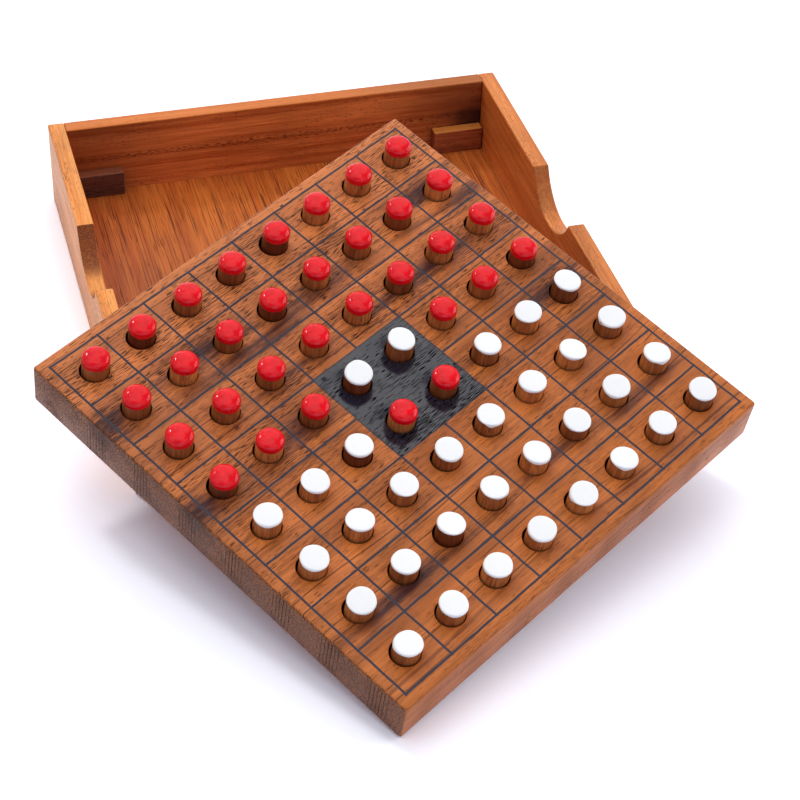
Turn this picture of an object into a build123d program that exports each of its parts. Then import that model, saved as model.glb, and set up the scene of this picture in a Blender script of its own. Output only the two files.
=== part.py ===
from build123d import *
import math
import os

# A handmade wooden reversi game. A shallow open tray keeps the thick play board, which sits in it on four
# corner blocks. Every square of the board has a blind hole, and every hole holds one dowel peg that is
# painted red at one end and white at the other. A player turns a peg over to change its colour.
# The game is set out for play: the board leans on the tray's front wall with one corner on the table.
#
# Sizes are in millimetres. +Z is up, +X runs along the tray's front wall, and the origin is the middle of
# the tray's underside. On the board, columns a to h run along its grain and ranks 1 to 8 run up from the
# edge that lies lowest, as a player reads them.

# Play board
squares_per_side = 8
square_size = 17.5
board_border = 3.5
board_thickness = 15.5
board_edge_ease = 0.6

# Pegs and their holes. The holes are drilled, so they end in the drill's point, and the red ends are eased
# to the same slope. A peg with its red end down goes further in than one with its flat white end down.
peg_diameter = 8.0
peg_length = 16.0
red_end_inset = 2.2
hole_depth = 8.8
drill_point_angle = 118.0
peg_clearance = 0.4
seat_clearance = 0.02
# The dowels and holes are drawn with this many flats, which stay within 0.05 of the round.
round_sides = 20

# Tray
board_clearance = 1.0
wall_thickness = 5.5
floor_thickness = 4.4
rim_over_board = 1.4
notch_width = 35.5
notch_depth = 11.3

# Corner blocks that hold the stored board above the loose pegs
block_length = 18.0
block_thickness = 4.0
block_height = 9.0
block_end_gap = 0.4

# How the board is set down: its turn from square with the tray, where its low corner meets the table,
# measured out from the tray's front face and across from the middle, and its clearance over the wall
board_turn = 31.15
corner_reach = 110.8
corner_across = -30.0
rest_clearance = 0.05

# Sizes that follow
board_size = squares_per_side * square_size + 2 * board_border
tray_inside = board_size + 2 * board_clearance
tray_outside = tray_inside + 2 * wall_thickness
wall_height = floor_thickness + block_height + board_thickness + rim_over_board
hole_radius = peg_diameter / 2 + peg_clearance
flat_share = math.cos(math.pi / round_sides)
drill_point_slope = 1 / math.tan(math.radians(drill_point_angle / 2))
drill_point_depth = hole_radius * flat_share * drill_point_slope
red_end_height = red_end_inset * drill_point_slope
board_lean = math.degrees(math.atan2(wall_height + rest_clearance, corner_reach))

# Names of the squares. The eight like pegs of each grouped rank share one file, and the rest are single.
column_names = "abcdefgh"
rank_names = "12345678"
grouped_rank_names = "12"

# Where a shape starts that is drawn from z = 0 upward
UPWARD = (Align.CENTER, Align.CENTER, Align.MIN)


def tray_floor():
    """The floor panel, let in flush between the four walls."""
    return Box(tray_inside, tray_inside, floor_thickness, align=UPWARD)


def end_wall(side):
    """The front (-1) or back (1) wall, which butts between the side walls."""
    wall = Box(tray_inside, wall_thickness, wall_height, align=UPWARD)
    return Pos(0, side * (tray_inside + wall_thickness) / 2, 0) * wall


def side_wall(side):
    """The left (-1) or right (1) wall, which runs the full depth and has a finger notch in its top edge."""
    wall = Box(wall_thickness, tray_outside, wall_height, align=UPWARD)
    notch_radius = (notch_width**2 / 4 + notch_depth**2) / (2 * notch_depth)
    cutter = Cylinder(notch_radius, 2 * wall_thickness, rotation=(0, 90, 0))
    wall -= Pos(0, 0, wall_height - notch_depth + notch_radius) * cutter
    return Pos(side * (tray_inside + wall_thickness) / 2, 0, 0) * wall


def corner_block(side_x, side_y):
    """One ledge block, glued to the floor and to the front or back wall beside a corner."""
    block = Box(block_length, block_thickness, block_height, align=UPWARD)
    across = tray_inside / 2 - block_end_gap - block_length / 2
    along = (tray_inside - block_thickness) / 2
    return Pos(side_x * across, side_y * along, floor_thickness) * block


def square_middle(column, rank):
    """The middle of a square, from the board's low corner. Columns and ranks count from 0."""
    step = [board_border + (count + 0.5) * square_size for count in (column, rank)]
    return Pos(step[0], step[1], 0)


def drilled_hole():
    """The wood that the drill takes out of one hole, from z = 0 up, and below z = 0 the drill's point."""
    mouth = RegularPolygon(hole_radius, round_sides)
    rim = [Vector(corner) for corner in mouth.vertices()]
    rim.sort(key=lambda corner: math.atan2(corner.Y, corner.X))
    tip = Vector(0, 0, -drill_point_depth)
    cone = [Face(Wire.make_polygon([rim[side - 1], rim[side], tip])) for side in range(round_sides)]
    return extrude(mouth, hole_depth) + Solid(Shell([mouth.face(), *cone]))


def play_board():
    """The board with its low bottom corner at the origin: eased top edges and a blind hole in each square."""
    board = Box(board_size, board_size, board_thickness, align=(Align.MIN, Align.MIN, Align.MIN))
    board = chamfer(board.faces().sort_by(Axis.Z)[-1].edges(), board_edge_ease)
    hole = Pos(0, 0, board_thickness - hole_depth) * drilled_hole()
    ranks = range(squares_per_side)
    return board - [square_middle(column, rank) * hole for rank in ranks for column in ranks]


def peg(red_up):
    """One peg, with z = 0 where its hole's straight side ends. It rests on the slope of the drill's point."""
    dowel = extrude(RegularPolygon(peg_diameter / 2, round_sides), peg_length)
    red_end = dowel.faces().sort_by(Axis.Z)[-1]
    dowel = chamfer(red_end.edges(), red_end_inset, red_end_height, reference=red_end)
    seat = seat_clearance - peg_clearance * flat_share * drill_point_slope
    if red_up:
        return Pos(0, 0, seat) * dowel
    return Pos(0, 0, seat - red_end_height + peg_length) * Rot(180, 0, 0) * dowel


def shows_red(column, rank):
    """Whether the peg in a square has its red end up. Red holds the far half and white the near half,
    and in the middle four squares each colour holds the two that face it across the board's centre."""
    half = squares_per_side // 2
    far_half = rank >= half
    in_middle = column in (half - 1, half) and rank in (half - 1, half)
    return far_half != in_middle


def write(node, shape):
    """Writes one named piece to its own STEP file."""
    shape.label = node
    export_step(shape, os.path.join("parts", node + ".step"))


os.makedirs("parts", exist_ok=True)

write("tray_floor", tray_floor())
for side, name in ((-1, "front"), (1, "back")):
    write(f"tray_{name}_wall", end_wall(side))
for side, name in ((-1, "left"), (1, "right")):
    write(f"tray_{name}_wall", side_wall(side))
for side_y, y_name in ((-1, "front"), (1, "back")):
    for side_x, x_name in ((-1, "left"), (1, "right")):
        write(f"corner_block_{y_name}_{x_name}", corner_block(side_x, side_y))

# From the board's own corner to its leaning place against the tray
low_corner = Pos(corner_across, -tray_outside / 2 - corner_reach, 0)
set_down = low_corner * Rot(board_lean, 0, 0) * Rot(0, 0, board_turn)
write("play_board", set_down * play_board())

pegs = {red_up: peg(red_up) for red_up in (True, False)}
straight_end = Pos(0, 0, board_thickness - hole_depth)
for rank, rank_name in enumerate(rank_names):
    standing = {
        column_name: set_down * square_middle(column, rank) * straight_end * pegs[shows_red(column, rank)]
        for column, column_name in enumerate(column_names)
    }
    if rank_name in grouped_rank_names:
        write(f"pegs_rank_{rank_name}", Compound(children=list(standing.values())))
    else:
        for column_name, placed in standing.items():
            write(f"peg_{column_name}{rank_name}", placed)

print("board", board_size, "tray", tray_outside, "x", wall_height, "lean", round(board_lean, 2))
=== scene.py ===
# A handmade wooden reversi game, set out for play. An open tray keeps the thick play board, and the board
# leans on the tray's front wall with 64 pegs standing in its holes, red or white end up.
# Sizes are written in millimetres and turned to metres by mm.
import math
import random

import bpy
from mathutils import Matrix, Vector


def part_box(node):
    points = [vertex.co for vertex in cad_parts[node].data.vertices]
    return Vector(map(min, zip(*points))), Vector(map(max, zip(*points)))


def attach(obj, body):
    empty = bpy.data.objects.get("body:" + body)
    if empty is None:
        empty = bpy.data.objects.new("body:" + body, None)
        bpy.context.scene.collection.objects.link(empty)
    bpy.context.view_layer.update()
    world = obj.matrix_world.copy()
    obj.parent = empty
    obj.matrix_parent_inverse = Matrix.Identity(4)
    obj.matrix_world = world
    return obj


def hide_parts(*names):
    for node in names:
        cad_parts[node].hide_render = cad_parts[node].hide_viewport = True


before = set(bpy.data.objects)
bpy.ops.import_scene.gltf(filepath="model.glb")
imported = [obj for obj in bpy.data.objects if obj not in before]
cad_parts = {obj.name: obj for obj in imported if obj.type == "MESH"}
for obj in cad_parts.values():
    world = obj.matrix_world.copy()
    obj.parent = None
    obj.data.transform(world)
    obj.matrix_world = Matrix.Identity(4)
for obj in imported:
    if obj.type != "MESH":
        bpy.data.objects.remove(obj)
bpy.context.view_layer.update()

# Tray floor
# A thin veneered panel let in flush between the four walls, with its long fine grain running front to back.
# It is glued all round, and the corner blocks stand on it.
mm = 0.001


def deselect_all():
    """Leaves nothing selected, so that an operator takes only what is picked next."""
    if bpy.context.object and bpy.context.object.mode != "OBJECT":
        bpy.ops.object.mode_set(mode="OBJECT")
    bpy.ops.object.select_all(action="DESELECT")


def rough_stick(name, low, high):
    """A stick of wood, sawn to its size at its place."""
    deselect_all()
    bpy.ops.mesh.primitive_cube_add(size=1, location=(low + high) / 2, scale=high - low)
    bpy.ops.object.transform_apply(location=True, rotation=True, scale=True)
    stick = bpy.context.object
    stick.name = name
    return stick


def ease_edges(piece, width, steps=3):
    """Rounds every sharp edge of the piece, as sandpaper does, and keeps its flat faces flat."""
    ease = piece.modifiers.new("ease", "BEVEL")
    ease.width = width * mm
    ease.segments = steps
    ease.limit_method = "ANGLE"
    ease.angle_limit = math.radians(40)
    flat = piece.modifiers.new("flat", "WEIGHTED_NORMAL")
    flat.keep_sharp = True
    for modifier in (ease, flat):
        bpy.ops.object.modifier_apply(modifier=modifier.name)


def hex_colour(code):
    """A colour written in sRGB hex, as the linear RGBA that a shader takes."""
    parts = [int(code[place : place + 2], 16) / 255 for place in (1, 3, 5)]
    return [part / 12.92 if part <= 0.04045 else ((part + 0.055) / 1.055) ** 2.4 for part in parts] + [1.0]


def new_material(name):
    """An empty node material."""
    material = bpy.data.materials.new(name)
    material.use_nodes = True
    material.node_tree.nodes.clear()
    return material


def node(material, kind, inputs=None, **settings):
    """Adds one shader node with its settings and links, and gives its first output."""
    made = material.node_tree.nodes.new("ShaderNode" + kind)
    for name, value in settings.items():
        setattr(made, name, value)
    for name, value in (inputs or {}).items():
        named = [made.inputs[name]] if isinstance(name, int) else [s for s in made.inputs if s.name == name]
        socket = next(s for s in named if s.enabled)
        if isinstance(value, bpy.types.NodeSocket):
            material.node_tree.links.new(value, socket)
        else:
            socket.default_value = value
    return next((s for s in made.outputs if s.enabled), None)


def reckon(material, operation, *values):
    """The outcome of one sum, taken from numbers and node outputs."""
    return node(material, "Math", dict(enumerate(values)), operation=operation)


def stick_axes(material, grain):
    """A stick's own axes in millimetres, with X along its grain."""
    placed = node(material, "TexCoord").node.outputs["Object"]
    inputs = {
        "Vector": placed,
        "Location": grain.to_translation(),
        "Rotation": grain.to_euler(),
        "Scale": (mm, mm, mm),
    }
    return node(material, "Mapping", inputs, vector_type="TEXTURE")


def drawn_out(material, own, length, width, detail=2.0):
    """Noise drawn out along the grain, in flecks of that length and width in millimetres."""
    pulled = node(
        material, "VectorMath", {0: own, 1: (1 / length, 1 / width, 1 / width)}, operation="MULTIPLY"
    )
    return node(material, "TexNoise", {"Vector": pulled, "Scale": 1.0, "Detail": detail, "Roughness": 0.6})


def laid_over(material, share, colour, top):
    """A colour with another one laid over it by a share. Each is a hex code or a node's output."""
    colour, top = (hex_colour(c) if isinstance(c, str) else c for c in (colour, top))
    return node(material, "Mix", {"Factor": share, "A": colour, "B": top}, data_type="RGBA")


def rise(material, value, start, end, low=0.0, high=1.0):
    """A soft step from low to high while the value goes from start to end."""
    inputs = {"Value": value, "From Min": start, "From Max": end, "To Min": low, "To Max": high}
    return node(material, "MapRange", inputs, interpolation_type="SMOOTHSTEP")


def eased(material, mask, share):
    """A mask that goes from 0 to 1, softened and scaled to a share."""
    return rise(material, mask, 0.0, 1.0, 0.0, share)


def across_rings(material, own, tilt):
    """The distance across the growth rings in millimetres. The rings sway a little along the stick."""
    tilt = math.radians(tilt)
    inputs = {0: own, 1: (0, math.cos(tilt), math.sin(tilt))}
    straight = node(material, "VectorMath", inputs, operation="DOT_PRODUCT").node.outputs["Value"]
    sway_reach = 7.0
    sway = drawn_out(material, own, 110, 40, 1.0)
    sway = reckon(material, "MULTIPLY_ADD", sway, sway_reach, -sway_reach / 2)
    return reckon(material, "ADD", straight, sway)


def wood_figure(material, own, rings, tones, gap, stripe, boldness=1.0, swing=0.34):
    """The colour of clean wood: growth bands about a gap wide, under stripes of a length and width."""
    inputs = {"W": rings, "Scale": 1 / gap, "Detail": 3.0, "Roughness": 0.6}
    bands = node(material, "TexNoise", inputs, noise_dimensions="1D")
    # Two noises added up lie between 0.75 and 1.25 for the most part.
    both = reckon(material, "ADD", bands, drawn_out(material, own, *stripe))
    late = reckon(material, "MULTIPLY", rise(material, both, 0.76, 1.24), boldness)
    colour = laid_over(material, late, tones["early"], tones["late"])
    patchy = drawn_out(material, own, 60, 14, 2.0)
    fibre = drawn_out(material, own, 9, 0.35, 2.0)
    shade = reckon(material, "ADD", patchy, fibre)
    inputs = {"Value": shade, "From Min": 0.75, "From Max": 1.25, "To Min": 1 - swing, "To Max": 1 + swing}
    shade = node(material, "MapRange", inputs)
    return node(material, "VectorMath", {0: colour, "Scale": shade}, operation="SCALE")


def soaked_pores(material, pore, share, colour, tone):
    """The colour with a tone laid over its pores, as oil darkens them."""
    return laid_over(material, eased(material, pore, share), colour, tone)


def open_pores(material, own, length, width, share):
    """Short dashes of open pore, more of them in some places than in others."""
    dash = drawn_out(material, own, length, width, 0.0)
    crowd = drawn_out(material, own, 30, 6, 1.0)
    dash = reckon(material, "MULTIPLY_ADD", crowd, 0.45, dash)
    dash = reckon(material, "ADD", dash, share)
    return rise(material, dash, 0.98, 1.02)


def oiled(material, colour, pore, roughness, pore_depth, shine=0.2):
    """Finishes a wood with a thin rubbed film that leaves the pores open: satin, and dull in the pores."""
    dull = reckon(material, "MULTIPLY_ADD", pore, 0.25, roughness)
    proud = reckon(material, "SUBTRACT", 1.0, pore)
    relief = node(material, "Bump", {"Height": proud, "Distance": pore_depth * mm, "Strength": 0.7})
    inputs = {"Base Color": colour, "Roughness": dull, "Specular IOR Level": shine, "Normal": relief}
    node(material, "OutputMaterial", {"Surface": node(material, "BsdfPrincipled", inputs)})


def fit(piece, material, body, slot, *nodes):
    """Gives the finished piece its material, and lets it ride and stand for its CAD nodes. Its slot is not
    used.
    """
    piece.data.materials.clear()
    piece.data.materials.append(material)
    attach(piece, body)
    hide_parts(*nodes)


# Rubbed hardwood veneer: warm orange brown, with long thin dark lines and no shine to speak of.
front_to_back = Matrix.Rotation(math.radians(90), 4, "Z")
floor_tones = {"early": "#CD712E", "late": "#BA5C24"}
material = new_material("rubbed_veneer")
own = stick_axes(material, front_to_back)
rings = across_rings(material, own, tilt=4)
colour = wood_figure(material, own, rings, floor_tones, gap=9.0, stripe=(60, 1.6), swing=0.2)
# Painted shade: the veneer is darkened towards the left wall.
toward_left_wall = node(material, "SeparateXYZ", {"Vector": own}).node.outputs["Y"]
colour = laid_over(material, rise(material, toward_left_wall, 25, 75, 0.0, 0.35), colour, "#6A3014")
lines = drawn_out(material, own, 34, 0.4, 0.0)
colour = laid_over(material, rise(material, lines, 0.6, 0.68, 0.0, 0.8), colour, "#5A260F")
pore = open_pores(material, own, length=8, width=0.3, share=0.04)
colour = soaked_pores(material, pore, 0.6, colour, "#5A2410")
oiled(material, colour, pore, roughness=0.45, pore_depth=0.05)

tray_floor = rough_stick("tray_floor_panel", *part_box("tray_floor"))
ease_edges(tray_floor, 0.2, 2)
fit(tray_floor, material, "tray", "floor_panel", "tray_floor")

# Tray walls
# Four sticks of hardwood, glued at butt joints: the front and back walls stand between the side walls.
# Each side wall has a finger notch, sanded through its top edge on a drum, and every arris is eased.
arris = 0.45
notch_width = 35.5
notch_depth = 11.3
notch_radius = (notch_width**2 / 4 + notch_depth**2) / (2 * notch_depth)
drum_sides = 160
along_front = Matrix.Identity(4)


def pick(piece):
    """Makes the piece the one that the next operators work on."""
    deselect_all()
    piece.select_set(True)
    bpy.context.view_layer.objects.active = piece


def end_grain(material, grain, start=0.45, end=0.9):
    """How far a face is cut across the fibres, from 0 on a long face to 1 on an end."""
    along = (grain.to_3x3() @ Vector((1, 0, 0))).normalized()
    inputs = {0: node(material, "TexCoord").node.outputs["Normal"], 1: along}
    facing = node(material, "VectorMath", inputs, operation="DOT_PRODUCT").node.outputs["Value"]
    return rise(material, reckon(material, "ABSOLUTE", facing), start, end)


def flecks(material, own, cut, per_mm, start, end, share):
    """Fine flecks on the faces that are cut across the fibres."""
    speckle = node(material, "TexNoise", {"Vector": own, "Scale": per_mm, "Detail": 1.0, "Roughness": 0.7})
    return reckon(material, "MULTIPLY", rise(material, speckle, start, end, 0.0, share), cut)


def out_from(material, own, middle, reach):
    """How far a point is out from a middle. It is 1 at the reach along each axis."""
    off = node(material, "VectorMath", {0: own, 1: middle}, operation="SUBTRACT")
    per_reach = [1 / size if size else 0 for size in reach]
    off = node(material, "VectorMath", {0: off, 1: per_reach}, operation="MULTIPLY")
    return node(material, "VectorMath", {0: off}, operation="LENGTH").node.outputs["Value"]


wall_sticks = {
    # Each wall's grain, its early and late tones, how far off in the plank it was sawn, so that no two walls
    # have the same figure, and how dark its end grain is
    "front": (along_front, "#D8803D", "#C06429", 0.0, 0.8),
    "back": (along_front, "#E88C4A", "#C1632D", 43.0, 0.8),
    "left": (front_to_back, "#F8A354", "#E48538", 90.0, 0.92),
    "right": (front_to_back, "#DC8543", "#C46A2C", 150.0, 0.4),
}
for side, (grain, early, late, sawn_from, soaked) in wall_sticks.items():
    low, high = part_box(f"tray_{side}_wall")
    wall = rough_stick(f"tray_{side}_stick", low, high)
    if side in ("left", "right"):
        bpy.ops.mesh.primitive_cylinder_add(
            vertices=drum_sides,
            radius=notch_radius * mm,
            depth=3 * (high.x - low.x),
            location=((low.x + high.x) / 2, 0, high.z + (notch_radius - notch_depth) * mm),
            rotation=(0, math.radians(90), 0),
        )
        drum = bpy.context.object
        pick(wall)
        notch = wall.modifiers.new("notch", "BOOLEAN")
        notch.operation = "DIFFERENCE"
        notch.object = drum
        bpy.ops.object.modifier_apply(modifier=notch.name)
        bpy.data.objects.remove(drum)
    ease_edges(wall, arris)

    # Oiled hardwood: smooth and satin, with small dark pores. Where its fibres are cut across, it soaks up
    # the oil and turns dark with golden flecks.
    material = new_material(f"oiled_hardwood_{side}")
    own = stick_axes(material, Matrix.Translation(Vector((1, 1, 1)) * sawn_from * mm) @ grain)
    rings = across_rings(material, own, tilt=62)
    tones = {"early": early, "late": late}
    colour = wood_figure(material, own, rings, tones, gap=7.0, stripe=(50, 1.5), swing=0.24)
    cut = eased(material, end_grain(material, grain, start=0.0, end=0.55), soaked)
    colour = laid_over(material, cut, colour, "#74300E")
    golden = flecks(material, own, cut, per_mm=1.9, start=0.5, end=0.6, share=0.5)
    colour = laid_over(material, golden, colour, "#C8701E")
    pore = open_pores(material, own, length=1.8, width=0.22, share=0.04)
    colour = soaked_pores(material, pore, 0.6, colour, "#5A2812")
    if side == "back":
        # Fine dark pores run along the middle of its height. Its two ends are darkened with painted shade
        # towards the corners, a dark patch of painted shade rises in the corner over its right block, and
        # its top edge is painted lighter, as light from above falls on it, and darker towards the right.
        pore_row_height = 17.5
        corner_shade_middle = (75 - sawn_from, 0, 14 - sawn_from)
        corner_shade_reach = (20, 0, 15)
        x, _, z = node(material, "SeparateXYZ", {"Vector": own}).node.outputs
        # Painted light: the top edge is lighter, as light from above falls on it, and darker towards the
        # right.
        painted_top_light = laid_over(material, 0.6, colour, "#DF7A24")
        toward_right = rise(material, x, 5 - sawn_from, 60 - sawn_from, 0.0, 0.5)
        painted_top_light = laid_over(material, toward_right, painted_top_light, "#8A4A18")
        # Painted shade: each end darkens towards its corner.
        for start, end, share in ((-20, -75, 0.7), (35, 68, 0.6)):
            shade_toward_end = rise(material, x, start - sawn_from, end - sawn_from, 0.0, share)
            colour = laid_over(material, shade_toward_end, colour, "#6A3014")
        off = reckon(material, "SUBTRACT", z, pore_row_height - sawn_from)
        off = reckon(material, "ABSOLUTE", off)
        near = rise(material, off, 2.0, 0.3, 0.0, 0.75)
        dashes = rise(material, drawn_out(material, own, 2.0, 0.3, 1.0), 0.5, 0.58)
        row = reckon(material, "MULTIPLY", near, dashes)
        colour = laid_over(material, row, colour, "#4A1E0E")
        # Painted shade: a dark patch in the corner over the right block.
        off = out_from(material, own, corner_shade_middle, corner_shade_reach)
        off = reckon(material, "MULTIPLY_ADD", drawn_out(material, own, 9, 5), 0.8, off)
        colour = laid_over(material, rise(material, off, 1.35, 0.6, 0.0, 0.9), colour, "#2A1C1A")
        top = high.z / mm - sawn_from
        colour = laid_over(material, rise(material, z, top - 0.5, top - 0.1), colour, painted_top_light)
    oiled(material, colour, pore, roughness=0.4, pore_depth=0.05)
    fit(wall, material, "tray", "tray_wood", f"tray_{side}_wall")

# Corner blocks
# Short strips of darker hardwood, glued to the floor beside each corner. The stored board rests on their
# top edges, with room under it for loose pegs. Their upward faces are painted paler, as light from above
# falls on them.
block_sticks = {
    # Each block's early and late tones, and the painted light on its upward faces
    "front_left": ("#8A4A2C", "#6A3420", "#9C5A36"),
    "front_right": ("#9A542E", "#7C4022", "#A8622F"),
    "back_left": ("#5D3A2E", "#452921", "#8C4E34"),
    "back_right": ("#B3683A", "#8C4A29", "#E6903E"),
}
for number, (place, (early, late, lit_top_tone)) in enumerate(block_sticks.items()):
    block = rough_stick(f"corner_strip_{place}", *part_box(f"corner_block_{place}"))
    ease_edges(block, arris)

    # Oiled dark hardwood, sawn from the offcuts of other sticks: satin, with long pores, and painted paler
    # on its upward faces, where the light from above falls.
    material = new_material(f"oiled_dark_hardwood_{place}")
    offcut = Matrix.Translation(Vector((0, 31, 17)) * number * mm)
    own = stick_axes(material, offcut)
    rings = across_rings(material, own, tilt=30)
    tones = {"early": early, "late": late}
    colour = wood_figure(material, own, rings, tones, gap=4.0, stripe=(30, 1.2))
    cut = eased(material, end_grain(material, along_front), 0.4)
    colour = laid_over(material, cut, colour, "#4A2416")
    # Painted light: the faces turned up are paler, as light from above falls on them.
    upward = node(material, "TexCoord").node.outputs["Normal"]
    upward = node(material, "SeparateXYZ", {"Vector": upward}).node.outputs["Z"]
    colour = laid_over(material, rise(material, upward, 0.3, 0.9, 0.0, 0.8), colour, lit_top_tone)
    pore = open_pores(material, own, length=2.4, width=0.3, share=0.06)
    colour = soaked_pores(material, pore, 0.7, colour, "#1E0C08")
    oiled(material, colour, pore, roughness=0.42, pore_depth=0.05)
    fit(block, material, "tray", "block_wood", f"corner_block_{place}")

# Play board
# One thick square of open-pored hardwood with its grain along the ranks. It has a blind hole drilled in
# each square, a grid drawn in dark ink, and black stain on the middle four squares.
squares = 8
square = 17.5
border = 3.5
thickness = 15.5
hole_radius = 4.4
hole_depth = 8.8
drill_angle = 118
drill_slope = 1 / math.tan(math.radians(drill_angle / 2))
hole_sides = 48
rim_ease = 0.15
board_arris = 0.8
field = squares * square
board_size = field + 2 * border

# How the board is set down: turned on the table, with its low corner in front of the tray, and leaning on
# the front wall's top edge.
board_turn = 31.15
corner_reach = 110.8
corner_across = -30.0
rest_clearance = 0.05
front_low, front_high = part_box("tray_front_wall")
board_lean = math.atan2(front_high.z + rest_clearance * mm, corner_reach * mm)
set_down = (
    Matrix.Translation((corner_across * mm, front_low.y - corner_reach * mm, 0))
    @ Matrix.Rotation(board_lean, 4, "X")
    @ Matrix.Rotation(math.radians(board_turn), 4, "Z")
)


def close_to(value, goal):
    """Whether two sizes are the same to a fiftieth of a millimetre."""
    return abs(value - goal) < 0.02


def pick_edges(piece, wanted):
    """Selects the edges whose two ends are both wanted, and starts to edit the piece."""
    bpy.ops.object.mode_set(mode="EDIT")
    bpy.ops.mesh.select_mode(type="EDGE")
    bpy.ops.mesh.select_all(action="DESELECT")
    bpy.ops.object.mode_set(mode="OBJECT")
    points = piece.data.vertices
    for edge in piece.data.edges:
        edge.select = all(wanted(points[end].co / mm) for end in edge.vertices)
    bpy.ops.object.mode_set(mode="EDIT")


def on_mouth(point):
    """Whether a point lies on the edge of the first square's hole."""
    out = math.hypot(point.x - square / 2, point.y - square / 2)
    return close_to(out, hole_radius) and close_to(point.z, thickness)


def drilled_square():
    """One square of the board's top with its hole: the ring round it, its wall and the drill's point."""
    middle = Vector((square / 2, square / 2, thickness)) * mm
    deselect_all()
    bpy.ops.mesh.primitive_circle_add(vertices=hole_sides, radius=hole_radius * mm, location=middle)
    bpy.ops.object.transform_apply(location=True, rotation=True, scale=True)
    tile = bpy.context.object
    bpy.ops.object.mode_set(mode="EDIT")
    bpy.ops.mesh.select_all(action="SELECT")
    bpy.ops.mesh.extrude_edges_move()
    bpy.ops.object.mode_set(mode="OBJECT")
    for point in tile.data.vertices:
        if point.select:
            away = point.co - middle
            point.co = middle + away * (square / 2 * mm / max(abs(away.x), abs(away.y)))
    pick_edges(tile, on_mouth)
    bpy.ops.mesh.extrude_edges_move(TRANSFORM_OT_translate={"value": (0, 0, -hole_depth * mm)})
    point_depth = hole_radius * drill_slope
    bpy.ops.mesh.extrude_edges_move(TRANSFORM_OT_translate={"value": (0, 0, -point_depth * mm)})
    bpy.ops.mesh.merge(type="CENTER")
    pick_edges(tile, on_mouth)
    bpy.ops.mesh.bevel(offset=rim_ease * mm, segments=2, affect="EDGES")
    bpy.ops.object.mode_set(mode="OBJECT")
    return tile


def in_a_row(piece, step):
    """Repeats the piece, joined to its neighbours, once for each square of a side."""
    row = piece.modifiers.new("row", "ARRAY")
    row.count = squares
    row.use_relative_offset = False
    row.use_constant_offset = True
    row.constant_offset_displace = step
    row.use_merge_vertices = True
    row.merge_threshold = 0.01 * mm
    bpy.ops.object.modifier_apply(modifier=row.name)


def on_outline(point, side):
    """Whether a point lies on the outline of a square of that side."""
    return any(close_to(value, edge) for value in (point.x, point.y) for edge in (0, side))


board = drilled_square()
board.name = "play_board_block"
in_a_row(board, (square * mm, 0, 0))
in_a_row(board, (0, square * mm, 0))
pick_edges(board, lambda point: on_outline(point, field) and close_to(point.z, thickness))
bpy.ops.mesh.extrude_edges_move()
widen = board_size / field
middle = Vector((field / 2, field / 2, thickness)) * mm
bpy.ops.transform.resize(value=(widen, widen, 1), center_override=middle)
bpy.ops.mesh.extrude_edges_move(TRANSFORM_OT_translate={"value": (0, 0, -thickness * mm)})
bpy.ops.mesh.edge_face_add()
bpy.ops.mesh.select_all(action="SELECT")
bpy.ops.mesh.normals_make_consistent(inside=False)
bpy.ops.transform.translate(value=(border * mm, border * mm, 0))
pick_edges(
    board,
    lambda point: on_outline(point, board_size) and (close_to(point.z, 0) or close_to(point.z, thickness)),
)
bpy.ops.mesh.bevel(offset=board_arris * mm, segments=3, affect="EDGES")
bpy.ops.object.mode_set(mode="OBJECT")
bpy.ops.object.shade_smooth_by_angle(angle=math.radians(35))
board.matrix_world = set_down
bpy.ops.object.transform_apply(location=True, rotation=True, scale=True)

# Oiled open-pored hardwood: a satin brown figure, boldly striped towards the eighth rank and calm towards
# the first, with a few purple heartwood streaks. Its ends are duller and greyer.
board_tones = {"early": "#CC7436", "late": "#7C3D19"}
# Seen on the top, a place up the ranks lies at place * ring_slope + ring_rise across the growth rings.
ring_tilt = -50
ring_slope = math.cos(math.radians(ring_tilt))
ring_rise = thickness * math.sin(math.radians(ring_tilt))
heartwood = "#381A1E"
streaks = (
    # Each streak's place up the ranks on the top, its half width and its strength
    (112.0, 1.6, 0.5),
    (97.0, 1.8, 0.5),
    (66.0, 1.2, 0.35),
    (27.0, 1.6, 0.45),
    (6.5, 0.8, 0.7),
)
# The dark heartwood patches fade with depth.
patch_depth = 13
patches = (
    # Each patch's middle along the grain and up the ranks, its half length and half width, and its strength
    (3, 117, 12, 10, 0.95),
    (40, 119, 30, 8, 0.95),
    (40, 110, 30, 3, 0.65),
    (82, 115, 22, 6, 0.8),
    (130, 121, 20, 7, 0.9),
    (141, 111, 13, 4, 0.8),
    (110, 98, 40, 4.5, 0.95),
    (50, 98, 25, 3.5, 0.6),
    (2, 81, 12, 8, 0.95),
    (42, 82, 19, 8, 0.75),
    (133, 68, 21, 8, 0.85),
    (24, 25, 30, 5, 0.9),
    (60, 110, 24, 6, 0.7),
    (88, 28, 18, 4, 0.7),
    (126, 25, 28, 3.5, 0.8),
)
material = new_material("oiled_open_pored_hardwood")
own = stick_axes(material, set_down)
rings = across_rings(material, own, ring_tilt)
x, y, z = node(material, "SeparateXYZ", {"Vector": own}).node.outputs
boldness = rise(material, y, 15, 120, 0.3, 0.75)
figure = {"gap": 5.0, "stripe": (60, 1.3), "boldness": boldness, "swing": 0.22}
colour = wood_figure(material, own, rings, board_tones, **figure)
cloud = rise(material, drawn_out(material, own, 55, 16, 2.0), 0.45, 0.65, 0.0, 0.4)
colour = laid_over(material, cloud, colour, "#743A1A")
colour = laid_over(material, rise(material, y, 60, 138, 0.0, 0.5), colour, "#E88B50")
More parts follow.
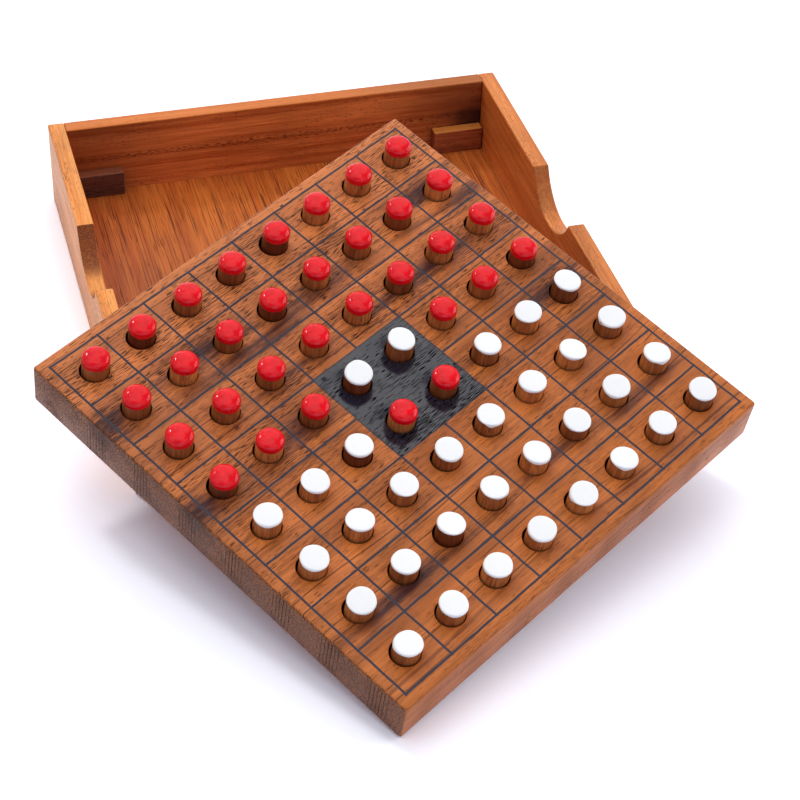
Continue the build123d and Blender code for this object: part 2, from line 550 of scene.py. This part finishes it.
# Thin dark growth lines, a few millimetres apart, that come and go.
growth_gap = 2.3
to_ring = reckon(material, "PINGPONG", rings, growth_gap / 2)
kept = rise(material, drawn_out(material, own, 48, 3.0, 1.0), 0.46, 0.6, 0.0, 0.7)
growth = reckon(material, "MULTIPLY", rise(material, to_ring, 0.22, 0.06), kept)
colour = laid_over(material, growth, colour, "#40200F")
broken = rise(material, drawn_out(material, own, 70, 2.4, 3.0), 0.36, 0.6, 0.3, 1.0)
for place, width, strength in streaks:
    off = reckon(material, "SUBTRACT", rings, place * ring_slope + ring_rise)
    off = reckon(material, "ABSOLUTE", off)
    near = rise(material, off, width * ring_slope, 0.0, 0.0, strength)
    near = reckon(material, "MULTIPLY", near, broken)
    colour = laid_over(material, near, colour, heartwood)
torn = drawn_out(material, own, 20, 2.2, 3.0)
for along, across, half_length, half_width, strength in patches:
    off = out_from(material, own, (along, across, thickness), (half_length, half_width, patch_depth))
    off = reckon(material, "MULTIPLY_ADD", torn, 1.6, off)
    colour = laid_over(material, rise(material, off, 1.8, 0.85, 0.0, strength), colour, heartwood)
cut = end_grain(material, set_down)
colour = laid_over(material, eased(material, cut, 0.5), colour, "#764626")
dark = flecks(material, own, cut, per_mm=1.7, start=0.46, end=0.57, share=0.85)
colour = laid_over(material, dark, colour, "#331810")
# Pores 0.2 mm wide are too fine to show, so they are drawn 0.25 mm wide.
pore_length = 3.0
pore_width = 0.25
crowding = rise(material, y, 20, 125, 0.07, 0.15)
pore = open_pores(material, own, pore_length, pore_width, crowding)
filled = rise(material, y, 20, 90, 0.5, 0.85)
seen = reckon(material, "MULTIPLY", pore, filled)
colour = laid_over(material, seen, colour, "#30150B")

# The ink lines waver a little, as a hand-ruled line does.
half_line = 0.35
line_blur = 0.1
ink = "#35333D"
# The tone of the painted shade inside the holes
hole_shade_tone = "#1E0F0A"
waver_reach = 0.5
waver = drawn_out(material, own, 9, 9, 2.0)
waver = reckon(material, "MULTIPLY_ADD", waver, waver_reach, -waver_reach / 2)
to_lines, to_middle = [], []
for along in (x, y):
    moved = reckon(material, "ADD", along, waver)
    from_first = reckon(material, "SUBTRACT", moved, border)
    to_lines.append(reckon(material, "PINGPONG", from_first, square / 2))
    from_middle = reckon(material, "SUBTRACT", moved, board_size / 2)
    to_middle.append(reckon(material, "ABSOLUTE", from_middle))
to_line = reckon(material, "MINIMUM", to_lines[0], to_lines[1])
out = reckon(material, "MAXIMUM", to_middle[0], to_middle[1])
on_top = rise(material, z, thickness - 0.6, thickness - 0.4)
in_field = rise(material, out, field / 2 + half_line + 2 * line_blur, field / 2 + half_line)
line = rise(material, to_line, half_line + line_blur, half_line - line_blur)
line = reckon(material, "MULTIPLY", line, in_field)
line = reckon(material, "MULTIPLY", line, on_top)
colour = laid_over(material, line, colour, ink)

# Painted shade: the holes' walls are darkened, as shade falls down inside them.
from_hole = [reckon(material, "SUBTRACT", square / 2, side) for side in to_lines]
from_hole = node(material, "CombineXYZ", {"X": from_hole[0], "Y": from_hole[1]})
from_hole = node(material, "VectorMath", {0: from_hole}, operation="LENGTH").node.outputs["Value"]
hole_wall_shade = rise(material, from_hole, hole_radius + 0.6, hole_radius + 0.5)
for start, end in ((thickness - 0.1, thickness - 0.4), (2.0, 3.0)):
    hole_wall_shade = reckon(material, "MULTIPLY", hole_wall_shade, rise(material, z, start, end))
colour = laid_over(material, hole_wall_shade, colour, hole_shade_tone)
oiled(material, colour, pore, roughness=0.4, pore_depth=0.08)
fit(board, material, "board", "board_wood", "play_board")

# Black stain rubbed smooth on the middle four squares: it mirrors the room softly, and its open pores don't.
stained = new_material("polished_black_stain")
own = stick_axes(stained, set_down)
mirror = 0.55
pore = open_pores(stained, own, pore_length, pore_width, share=0.13)
colour = laid_over(stained, pore, "#1C1926", "#020203")
mirrored = reckon(stained, "MULTIPLY_ADD", pore, -mirror, mirror)
oiled(stained, colour, pore, roughness=0.18, pore_depth=0.12, shine=mirrored)
board.data.materials.append(stained)
to_board = set_down.inverted()
for face in board.data.polygons:
    place = (to_board @ face.center) / mm
    in_middle = max(abs(place.x - board_size / 2), abs(place.y - board_size / 2)) < square
    if in_middle and place.z > thickness - 2 * rim_ease:
        face.material_index = 1

# Pegs
# Short lengths of dowel, each sawn by hand, with its grain along its length. One end is rounded and dipped
# in red, and the other is left flat and dabbed with white.
peg_radius = 3.95
peg_length = 16.0
peg_sides = 40
coat = 0.1
coat_root = 0.3
under_red = 0.7
under_white = 0.3
lap = 0.2
red_drop = 1.9
red_side = 0.8
red_wave = 0.12
white_side = 0.55
white_wave = 0.18
outline_wave = 0.013
drip_width = 0.3
red_inset = 2.2
peg_clearance = 0.4
seat_clearance = 0.02
solid_sides = 20
flat_share = math.cos(math.pi / solid_sides)
white_seat = seat_clearance - peg_clearance * flat_share * drill_slope
red_seat = white_seat - red_inset * drill_slope
column_names = "abcdefgh"
rank_names = "12345678"
grouped_ranks = "12"

# How the pegs differ: the slope of the saw cut, how far a peg is from its set length, with the far ranks'
# the longer ones, and where its foot and its middle at the hole's mouth stand, each with its play.
saw_slope = 0.12
length_spread = 0.3
longer_per_rank = 0.12
shortest, longest = -0.9, 0.4
foot_place, foot_play = (-0.08, 0.0), 0.16
mouth_place, mouth_play = (0.2, -0.06), 0.18
draw = random.Random(64)


def turned(name, profile):
    """A round piece, turned about Z from its profile of radius and height, closed on itself."""
    mesh = bpy.data.meshes.new(name)
    edges = [(step, step + 1) for step in range(len(profile) - 1)]
    mesh.from_pydata([(radius * mm, 0, height * mm) for radius, height in profile], edges, [])
    piece = bpy.data.objects.new(name, mesh)
    bpy.context.scene.collection.objects.link(piece)
    pick(piece)
    bpy.ops.object.mode_set(mode="EDIT")
    bpy.ops.mesh.select_all(action="SELECT")
    bpy.ops.mesh.spin(steps=peg_sides, angle=math.tau, center=(0, 0, 0), axis=(0, 0, 1))
    bpy.ops.mesh.select_all(action="SELECT")
    bpy.ops.mesh.remove_doubles(threshold=0.002 * mm)
    bpy.ops.mesh.normals_make_consistent(inside=False)
    bpy.ops.object.mode_set(mode="OBJECT")
    bpy.ops.object.shade_smooth_by_angle(angle=math.radians(50))
    return piece


# The wood ends a little under each coat, and each coat laps into the wood, so that no gap shows.
shoulder = peg_length - red_drop
dowel_profile = [
    (0, under_white),
    (peg_radius - 0.5, under_white),
    (peg_radius, under_white + 0.5),
    (peg_radius, peg_length / 2),
    (peg_radius, shoulder),
    (peg_radius - 1.2, peg_length - under_red),
    (0, peg_length - under_red),
]
# The red dome is a flattened round: its power is over 2, so its crown is flat and its shoulder full.
red_radius = peg_radius + coat
dome_power = 2.5
dome_steps = 11
dome = []
for step in range(dome_steps + 1):
    share = math.sin(step / dome_steps * math.pi / 2)
    fall = red_drop * (1 - (1 - share**dome_power) ** (1 / dome_power))
    dome.append((red_radius * share, peg_length - fall))
red_profile = [
    *dome,
    (red_radius + 0.03, shoulder - red_side),
    (red_radius, shoulder - red_side - 0.12),
    (peg_radius - coat_root, shoulder - red_side - 0.16),
    (peg_radius - coat_root, shoulder),
    (peg_radius - 1.6, peg_length - under_red - lap),
    (0, peg_length - under_red - lap),
]
white_profile = [
    (0, 0.0),
    (peg_radius - 1.95, 0.0),
    (peg_radius - 0.45, 0.015),
    (peg_radius - 0.1, 0.07),
    (peg_radius + 0.07, 0.22),
    (peg_radius + 0.12, white_side),
    (peg_radius + 0.08, white_side + 0.12),
    (peg_radius - coat_root, white_side + 0.15),
    (peg_radius - coat_root, under_white + lap),
    (0, under_white + lap),
]
dowel_blank = turned("dowel_blank", dowel_profile)
red_blank = turned("red_blank", red_profile)
white_blank = turned("white_blank", white_profile)


def copied(blank, name, change, place):
    """A copy of a blank with its own mesh, changed point by point and set in place."""
    piece = bpy.data.objects.new(name, blank.data.copy())
    bpy.context.scene.collection.objects.link(piece)
    for point in piece.data.vertices:
        point.co = change(point.co / mm) * mm
    piece.data.transform(place)
    return piece


def drift(reach, start=(0.0, 0.0)):
    """A place drawn at random, anywhere within reach of a start."""
    angle, far = draw.uniform(0, math.tau), reach * math.sqrt(draw.random())
    return Vector((start[0] + far * math.cos(angle), start[1] + far * math.sin(angle)))


def peg_pieces(name, column, rank, red_up):
    """The dowel and the two painted ends of one peg, standing in its hole as it was pushed in."""
    # Each wave's count round the peg, its height and where it starts
    waves = [
        (count, draw.uniform(0.3, 1.0) / count**0.6, draw.uniform(0, math.tau)) for count in (1, 2, 3, 4, 7)
    ]
    saw = drift(saw_slope)
    drip_at, drip = draw.uniform(-math.pi, math.pi), max(0.0, draw.uniform(-0.5, 0.9))
    longer = draw.gauss(0, length_spread) + longer_per_rank * (rank - 6)
    longer = max(shortest, min(longest, longer))

    def ragged(angle):
        """The rise and fall of a brushed edge round the peg."""
        return sum(height * math.sin(count * angle + start) for count, height, start in waves)

    def sawn(point):
        """Sets the point of a peg that is sawn a little long or short, and askew at its white end."""
        askew_height = 5
        share = max(0.0, 1 - point.z / askew_height)
        point.z += share * (point.x * saw.x + point.y * saw.y)
        from_foot = point.z if red_up else peg_length - point.z
        from_foot *= 1 + longer / peg_length
        point.z = from_foot if red_up else peg_length - from_foot
        return point

    def red_run(point):
        """Lets the red coat's lower edge run unevenly."""
        if point.z < shoulder + 0.05 and point.xy.length > 3:
            point.z -= red_wave * ragged(math.atan2(point.y, point.x))
        return sawn(point)

    def white_run(point):
        """Makes the white coat's outline uneven, and lets its edge run down in one place."""
        angle = math.atan2(point.y, point.x)
        if point.xy.length > 2:
            point.xy *= 1 + outline_wave * ragged(angle + 1)
            if point.z > 0.2:
                turn = math.remainder(angle - drip_at, math.tau)
                run = white_wave * ragged(angle) + drip * math.exp(-((turn / drip_width) ** 2))
                point.z += max(-0.2, run) + 0.05
        return sawn(point)

    foot = drift(foot_play, foot_place)
    mouth = drift(mouth_play, mouth_place)
    lean = (mouth - foot) / hole_depth
    middle = Vector((border + (column + 0.5) * square, border + (rank + 0.5) * square))
    seat = thickness - hole_depth + (white_seat if red_up else red_seat)
    upright = Vector((lean.x, lean.y, 1)).to_track_quat("Z", "Y").to_matrix().to_4x4()
    stand = Matrix.Translation(Vector((middle.x + foot.x, middle.y + foot.y, seat)) * mm) @ upright
    if not red_up:
        stand = stand @ Matrix.Translation((0, 0, peg_length * mm)) @ Matrix.Rotation(math.pi, 4, "X")
    place = set_down @ stand @ Matrix.Rotation(draw.uniform(0, math.tau), 4, "Z")
    return (
        copied(dowel_blank, f"{name}_dowel", sawn, place),
        copied(red_blank, f"{name}_red_end", red_run, place),
        copied(white_blank, f"{name}_white_end", white_run, place),
    )


def joined(pieces, name):
    """Several like pieces as one."""
    pick(pieces[0])
    for piece in pieces[1:]:
        piece.select_set(True)
    bpy.ops.object.join()
    pieces[0].name = name
    pieces[0].data.name = name
    return pieces[0]


# Oiled hardwood dowel: smooth, straight grained along the peg, and each in the colour of its own stick,
# from tan to a dark red brown.
dowel_wood = new_material("oiled_dowel")
peg_grain = set_down @ Matrix.Rotation(math.radians(-90), 4, "Y")
own = stick_axes(dowel_wood, peg_grain)
rings = across_rings(dowel_wood, own, tilt=20)
dowel_tones = {"early": "#D07F42", "late": "#B26330"}
colour = wood_figure(dowel_wood, own, rings, dowel_tones, gap=2.2, stripe=(25, 0.6), swing=0.26)
# The square that a peg stands in picks its tint.
on_board = stick_axes(dowel_wood, set_down @ Matrix.Translation(Vector((border, border, 0)) * mm))
per_square = (1 / square, 1 / square, 0)
on_board = node(dowel_wood, "VectorMath", {0: on_board, 1: per_square}, operation="MULTIPLY")
on_board = node(dowel_wood, "VectorMath", {0: on_board}, operation="FLOOR")
own_stick = node(dowel_wood, "TexWhiteNoise", {"Vector": on_board}, noise_dimensions="3D")
own_stick = reckon(dowel_wood, "POWER", own_stick, 1.2)
tint = laid_over(dowel_wood, own_stick, "#FFFFFF", "#866A6C")
colour = node(dowel_wood, "VectorMath", {0: colour, 1: tint}, operation="MULTIPLY")
pore = open_pores(dowel_wood, own, length=3.0, width=0.25, share=0.04)
colour = soaked_pores(dowel_wood, pore, 0.6, colour, "#2C130A")
oiled(dowel_wood, colour, pore, roughness=0.38, pore_depth=0.04)

# Red enamel: two dipped coats of gloss paint with a faint ripple, bright on the crown.
red_enamel = new_material("red_gloss_enamel")
ripple_gap = 2.4
red_ripple = 0.11
at = node(red_enamel, "TexCoord").node.outputs["Object"]
ripple = node(red_enamel, "TexNoise", {"Vector": at, "Scale": 1 / (ripple_gap * mm), "Detail": 1.0})
red = laid_over(red_enamel, rise(red_enamel, ripple, 0.35, 0.65), "#E40318", "#F2061B")
relief = node(red_enamel, "Bump", {"Height": ripple, "Distance": red_ripple * mm, "Strength": 0.5})
inputs = {"Base Color": red, "Roughness": 0.1, "Specular IOR Level": 0.2, "Normal": relief}
node(red_enamel, "OutputMaterial", {"Surface": node(red_enamel, "BsdfPrincipled", inputs)})

# White enamel: one thick coat dabbed on the sawn end, dead white with a low gloss.
white_enamel = new_material("white_enamel")
dab_gap = 1.1
white_ripple = 0.04
at = node(white_enamel, "TexCoord").node.outputs["Object"]
ripple = node(white_enamel, "TexNoise", {"Vector": at, "Scale": 1 / (dab_gap * mm), "Detail": 2.0})
white = laid_over(white_enamel, ripple, "#FAF9F5", "#FDFDFB")
relief = node(white_enamel, "Bump", {"Height": ripple, "Distance": white_ripple * mm, "Strength": 0.4})
inputs = {"Base Color": white, "Roughness": 0.4, "Specular IOR Level": 0.3, "Normal": relief}
node(white_enamel, "OutputMaterial", {"Surface": node(white_enamel, "BsdfPrincipled", inputs)})


def shows_red(column, rank):
    """Whether a peg has its red end up, at the start of a game."""
    half = squares // 2
    in_middle = column in (half - 1, half) and rank in (half - 1, half)
    return (rank >= half) != in_middle


finishes = ((dowel_wood, "peg_wood"), (red_enamel, "red_enamel"), (white_enamel, "white_enamel"))
for rank, rank_name in enumerate(rank_names):
    pegs = [
        peg_pieces(f"peg_{column_name}{rank_name}", column, rank, shows_red(column, rank))
        for column, column_name in enumerate(column_names)
    ]
    cad_nodes = [f"peg_{column_name}{rank_name}" for column_name in column_names]
    if rank_name in grouped_ranks:
        kinds = ("dowels", "red_ends", "white_ends")
        pegs = [[joined(like, f"pegs_{rank_name}_{kind}") for like, kind in zip(zip(*pegs), kinds)]]
        cad_nodes = [f"pegs_rank_{rank_name}"]
    for pieces, cad_node in zip(pegs, cad_nodes):
        for piece, (material, slot) in zip(pieces, finishes):
            fit(piece, material, cad_node, slot, cad_node)
for blank in (dowel_blank, red_blank, white_blank):
    bpy.data.objects.remove(blank)

# Table, light and camera
# A white table under three large softboxes, with fill lights round about and one bare lamp.
# The camera looks down from the front left through a long lens.
table_side = 8000
table_gap = 0.2
deselect_all()
bpy.ops.mesh.primitive_plane_add(size=table_side * mm, location=(0, 0, -table_gap * mm))
table = bpy.context.object
table.name = "white_table"


def seen_directly(material):
    """Whether a ray comes from the camera, or from a reflection or through glass."""
    ray = node(material, "LightPath").node.outputs
    direct = reckon(material, "MAXIMUM", ray["Is Camera Ray"], ray["Is Glossy Ray"])
    return reckon(material, "MAXIMUM", direct, ray["Is Transmission Ray"])


# The table is seen whiter than it lights the game, so that it is pure white and keeps its shadows.
white_table = new_material("white_laminate")
lit = node(white_table, "BsdfDiffuse", {"Color": hex_colour("#EBEFF6")})
lift = node(white_table, "BsdfDiffuse", {"Color": hex_colour("#B9B9BC")})
bright = node(white_table, "AddShader", {0: lit, 1: lift})
shown = node(white_table, "MixShader", {0: seen_directly(white_table), 1: lit, 2: bright})
node(white_table, "OutputMaterial", {"Surface": shown})
table.data.materials.append(white_table)

# The room is white round about. Overhead it is dimmer, but there it lights the game.
world = bpy.data.worlds.new("white_room")
world.use_nodes = True
world.node_tree.nodes.clear()
up = node(world, "SeparateXYZ", {"Vector": node(world, "TexCoord")}).node.outputs["Z"]
ceiling = {"Color": hex_colour("#E6E8FF"), "Strength": rise(world, up, 0.5, 0.9, 0.0, 0.24)}
walls = {"Color": hex_colour("#FFFFFF"), "Strength": rise(world, up, 0.3, 0.75, 1.0, 0.5)}
room = node(world, "Background", ceiling)
backdrop = node(world, "Background", walls)
shown = node(world, "MixShader", {0: seen_directly(world), 1: room, 2: backdrop})
node(world, "OutputWorld", {"Surface": shown})
bpy.context.scene.world = world

lights = (
    # Each light's name, the side it stands on and its height in degrees, the angle that it fills, its share
    # of the light on a face turned to it, and its colour
    ("overhead_softbox", 0, 90, 40, 0.19, "#FFFFFF"),
    ("back_left_softbox", 120, 52, 40, 0.09, "#FFFFFF"),
    ("back_right_softbox", 60, 52, 40, 0.17, "#FFFFFF"),
    ("left_fill", 190, 52, 40, 0.14, "#FFFFFF"),
    ("front_right_fill", 300, 52, 40, 0.11, "#FFFFFF"),
    ("right_fill", 0, 22, 40, 0.36, "#FFFFFF"),
    ("low_back_fill", 90, 22, 40, 0.12, "#FFFFFF"),
    ("front_fill", 270, 22, 40, 0.18, "#B8CAFF"),
    ("bare_lamp", 120, 52, 7, 0.18, "#FFFFFF"),
)
for name, side, height, width, share, tone in lights:
    lamp = bpy.data.lights.new(name, "SUN")
    lamp.energy = share * math.pi
    lamp.angle = math.radians(width)
    lamp.color = hex_colour(tone)[:3]
    towards = Vector((math.cos(math.radians(side)), math.sin(math.radians(side)), 0))
    towards = towards * math.cos(math.radians(height)) + Vector((0, 0, math.sin(math.radians(height))))
    holder = bpy.data.objects.new(name, lamp)
    holder.rotation_euler = towards.to_track_quat("Z", "Y").to_euler()
    bpy.context.scene.collection.objects.link(holder)

camera_place = Vector((-146.5, -552.0, 427.0)) * mm
camera_azimuth = -17.3
camera_elevation = 39.4
camera_roll = 2.45
camera = bpy.data.objects.new("camera", bpy.data.cameras.new("camera"))
camera.data.lens = 96.5
camera.data.sensor_width = 36
camera.data.clip_end = 20
camera.matrix_world = (
    Matrix.Translation(camera_place)
    @ Matrix.Rotation(math.radians(camera_azimuth), 4, "Z")
    @ Matrix.Rotation(math.radians(90 - camera_elevation), 4, "X")
    @ Matrix.Rotation(math.radians(camera_roll), 4, "Z")
)
bpy.context.scene.collection.objects.link(camera)
bpy.context.scene.camera = camera
bpy.context.scene.view_settings.view_transform = "Standard"
